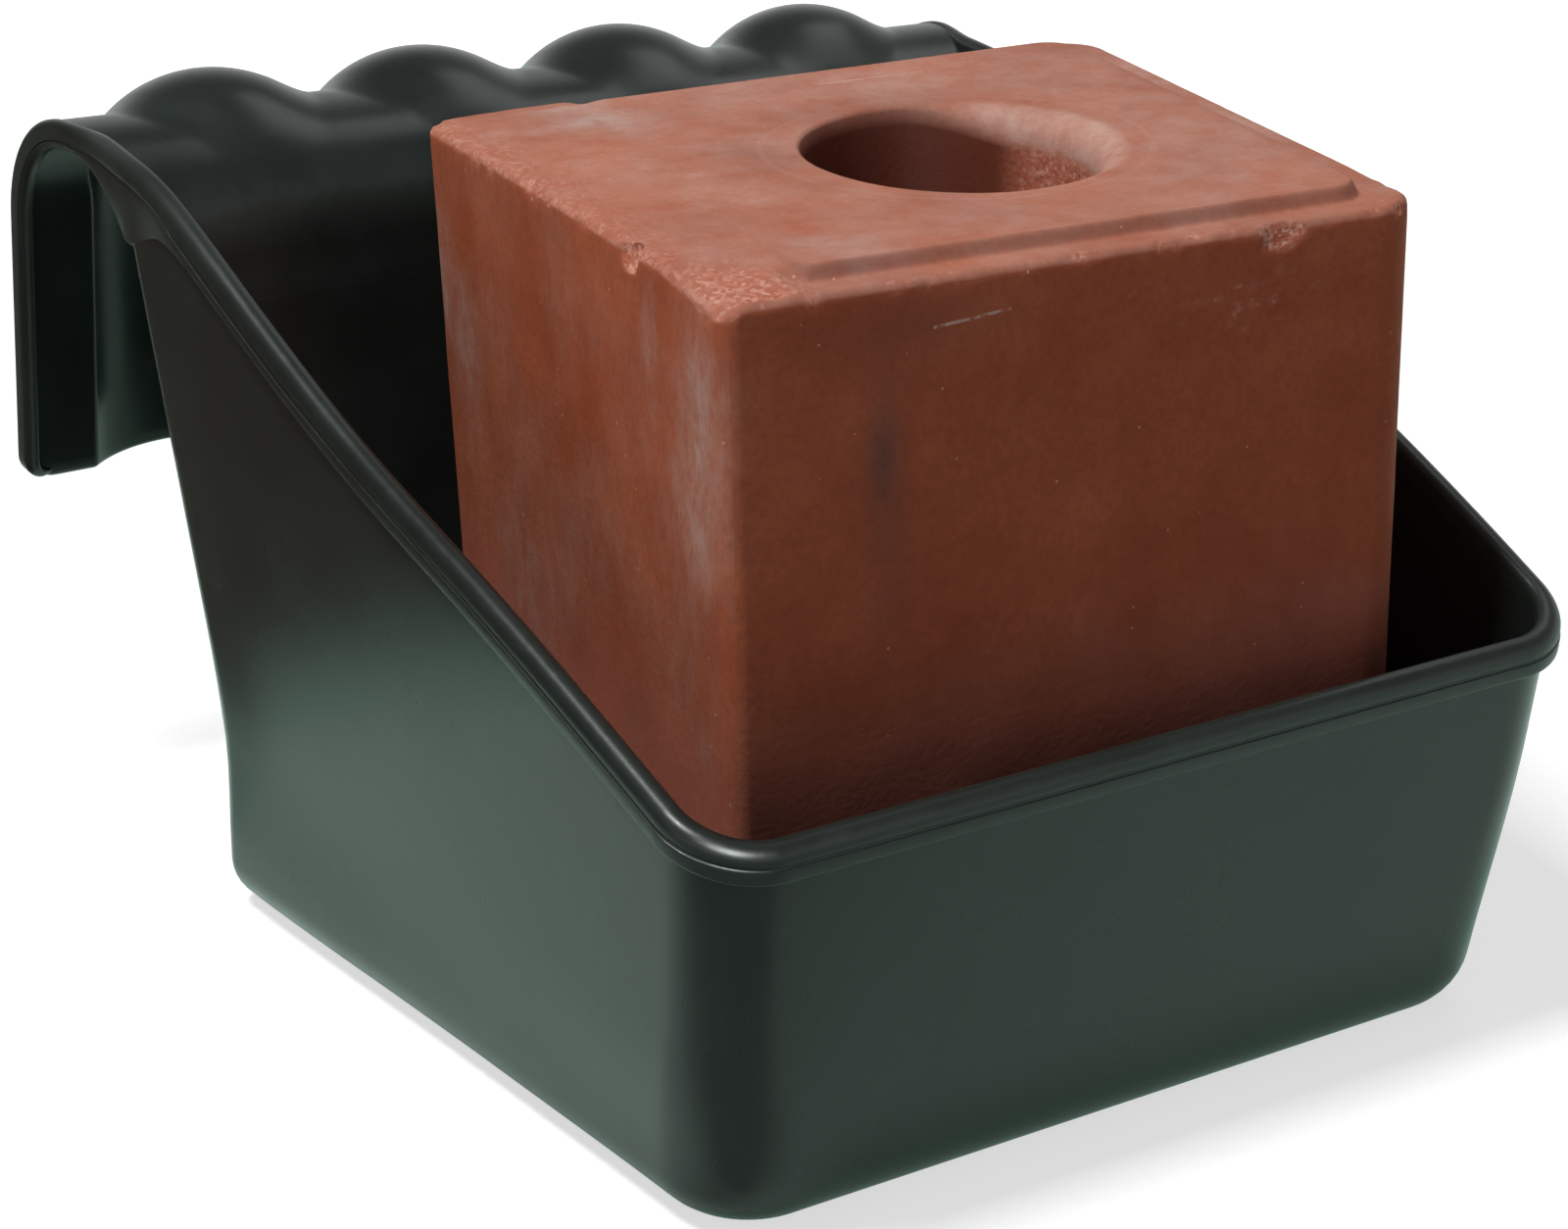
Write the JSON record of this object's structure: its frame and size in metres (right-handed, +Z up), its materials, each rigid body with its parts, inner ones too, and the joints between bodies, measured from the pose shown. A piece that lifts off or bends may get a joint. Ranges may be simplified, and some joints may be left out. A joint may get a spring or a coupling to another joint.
{
  "type": "livestock mineral feeder",
  "caption": "Moulded trough with a rim that slopes down to the front and a ribbed hook that hangs over a fence rail, holding a pressed mineral block for livestock to lick.",
  "frame": {"origin": "middle of the trough's base, on the surface that it stands on", "axes": "+Z up, the low front rim faces -Y, the hook is at +Y, +X to the right seen from the front"},
  "size_m": [0.3354, 0.4221, 0.2552],
  "materials": {
    "trough_plastic": "moulded polyethylene, very dark green-black, half gloss with fine scuffs",
    "block_mineral": "pressed salt and mineral, matt, brick red-brown, grainy where it is chipped"
  },
  "bodies": {
    "trough": {"hook_trough": "trough_plastic"},
    "block": {"mineral_block": "block_mineral"}
  },
  "joints": [
    {"name": "block_lift", "type": "slide", "parent": "trough", "child": "block", "axis": [0, 0, 1], "range_m": [0, 0.25]}
  ]
}
